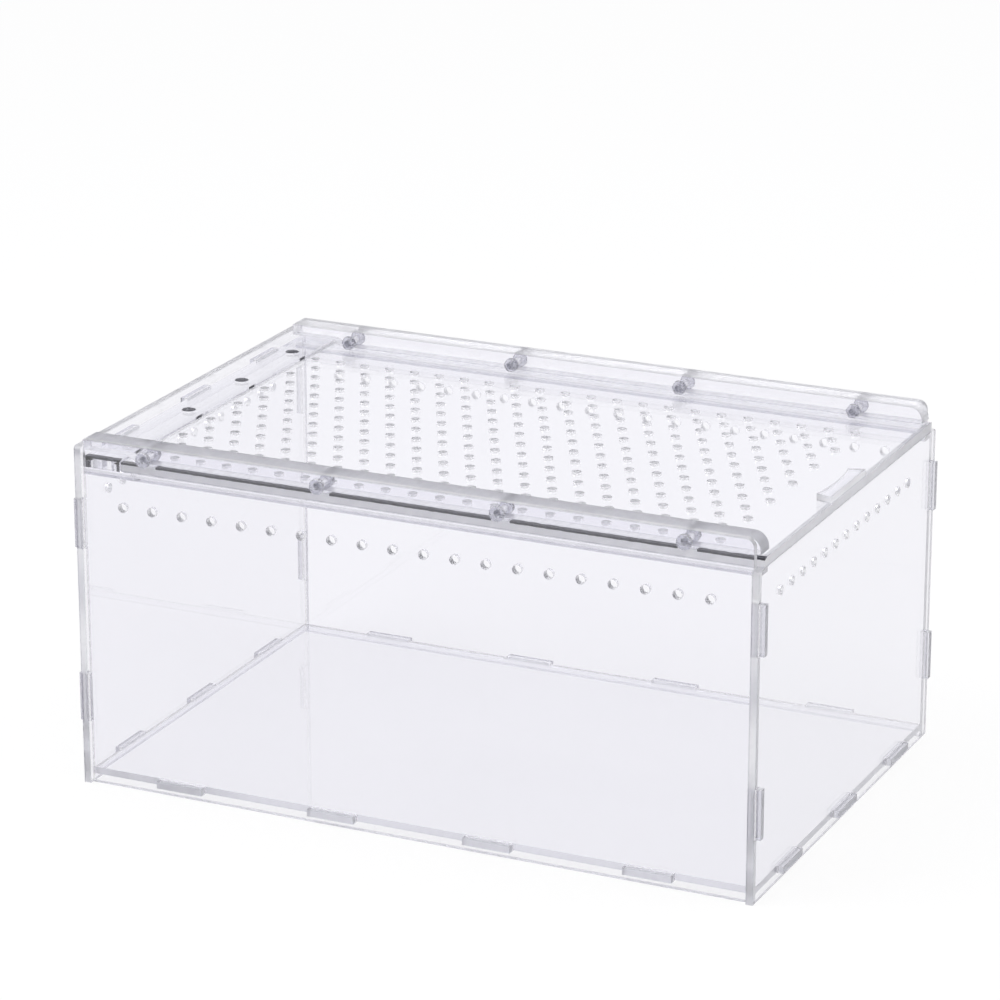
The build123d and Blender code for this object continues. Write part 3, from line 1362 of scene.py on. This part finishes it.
@dataclass
class Studio:
    """The pale floor, the soft light and the camera."""

    floor_half: float = 4.0
    floor_drop: float = 0.1 * MILLIMETRE
    floor_white: float = 1.0
    floor_paper: tuple[float, float, float, float] = (0.9, 0.9, 0.9, 1.0)
    floor_glow: float = 0.9
    white: Triple = (1.0, 1.0, 1.0)
    room_low: Triple = (0.88, 0.88, 0.93)
    room_high: Triple = (0.97, 0.97, 1.0)
    room_rise: float = 0.35
    room_light: Triple = (0.75, 0.75, 0.78)
    lamp_power: float = 12.0
    lamps: tuple[SoftLamp, ...] = (
        SoftLamp("soft_key", (-0.7, -0.5, 1.3), 1.0, 1.0),
        SoftLamp("soft_fill", (0.9, 0.3, 1.2), 1.2, 0.6),
    )
    bounces: int = 100
    camera_place: Triple = (0.7042, -1.5224, 0.6807)
    camera_heading: float = 24.984
    camera_tilt: float = 18.636
    camera_lens: float = 153.41
    camera_sensor: float = 36.0

    def build(self) -> None:
        """Makes the whole studio."""
        self.make_floor()
        self.make_world()
        self.make_lamps()
        self.make_camera()
        scene = bpy.context.scene
        scene.view_settings.view_transform = "Standard"
        scene.cycles.max_bounces = self.bounces
        scene.cycles.glossy_bounces = self.bounces
        scene.cycles.transmission_bounces = self.bounces

    def make_floor(self) -> None:
        """Makes the pale floor: white to the eye, with the soft shadow kept as a share of it."""
        Bench.clear()
        bpy.ops.mesh.primitive_plane_add(size=2 * self.floor_half, location=(0.0, 0.0, -self.floor_drop))
        floor = bpy.context.active_object
        floor.name = "pale_floor"
        material, graph = NodeGraph.of_material("pale_floor_paper")
        path = graph.add("ShaderNodeLightPath")
        glow = graph.add("ShaderNodeEmission", Color=(*self.white, 1.0), Strength=self.floor_white)
        matt = graph.add("ShaderNodeBsdfDiffuse", Color=self.floor_paper)
        direct = graph.maths("MAXIMUM", path.outputs["Is Camera Ray"], path.outputs["Is Glossy Ray"])
        direct = graph.maths("MAXIMUM", direct, path.outputs["Is Transmission Ray"])
        mixed = graph.add("ShaderNodeMixShader")
        parts = (graph.maths("MULTIPLY", direct, self.floor_glow), matt.outputs[0], glow.outputs[0])
        for number, part in enumerate(parts):
            graph.feed(mixed, number, part)
        graph.add("ShaderNodeOutputMaterial", Surface=mixed.outputs[0])
        floor.data.materials.append(material)

    def make_world(self) -> None:
        """Makes the surroundings: white behind the object, and a greyer room in its reflections."""
        world = bpy.data.worlds.new("studio_world")
        bpy.context.scene.world = world
        world.use_nodes = True
        graph = NodeGraph(world.node_tree)
        path = graph.add("ShaderNodeLightPath")
        direction = graph.add("ShaderNodeTexCoord")
        height = graph.add("ShaderNodeSeparateXYZ", Vector=direction.outputs["Generated"])
        rise = graph.rise(height.outputs["Z"], 0.0, self.room_rise)
        room = graph.blend(rise, self.room_low, self.room_high)
        bounced = graph.maths("GREATER_THAN", path.outputs["Glossy Depth"], 0.5)
        seen = graph.blend(bounced, self.white, room)
        colour = graph.blend(path.outputs["Is Diffuse Ray"], seen, self.room_light)
        back = graph.add("ShaderNodeBackground", Color=colour, Strength=1.0)
        graph.add("ShaderNodeOutputWorld", Surface=back.outputs[0])

    def make_lamps(self) -> None:
        """Hangs the large soft lamps over the object."""
        for soft in self.lamps:
            lamp = bpy.data.lights.new(soft.name, "AREA")
            lamp.energy = self.lamp_power * soft.share
            lamp.size = soft.size
            holder = bpy.data.objects.new(soft.name, lamp)
            bpy.context.scene.collection.objects.link(holder)
            holder.location = soft.place
            holder.rotation_euler = (-Vector(soft.place)).to_track_quat("-Z", "Y").to_euler()

    def make_camera(self) -> None:
        """Places the camera where the photograph was taken from."""
        data = bpy.data.cameras.new("camera")
        data.sensor_width = self.camera_sensor
        data.lens = self.camera_lens
        camera = bpy.data.objects.new("camera", data)
        bpy.context.scene.collection.objects.link(camera)
        camera.location = self.camera_place
        rise = math.radians(90.0 - self.camera_tilt)
        camera.rotation_euler = (rise, 0.0, math.radians(self.camera_heading))
        bpy.context.scene.camera = camera


def main() -> None:
    """Builds the terrarium's looks and its studio."""
    logging.basicConfig(level=logging.INFO, format="%(message)s")
    Case().dress()
    SlidingLid().dress()
    RailFasteners().build()
    StripMagnets().build()
    Studio().build()


if __name__ == "__main__":
    main()
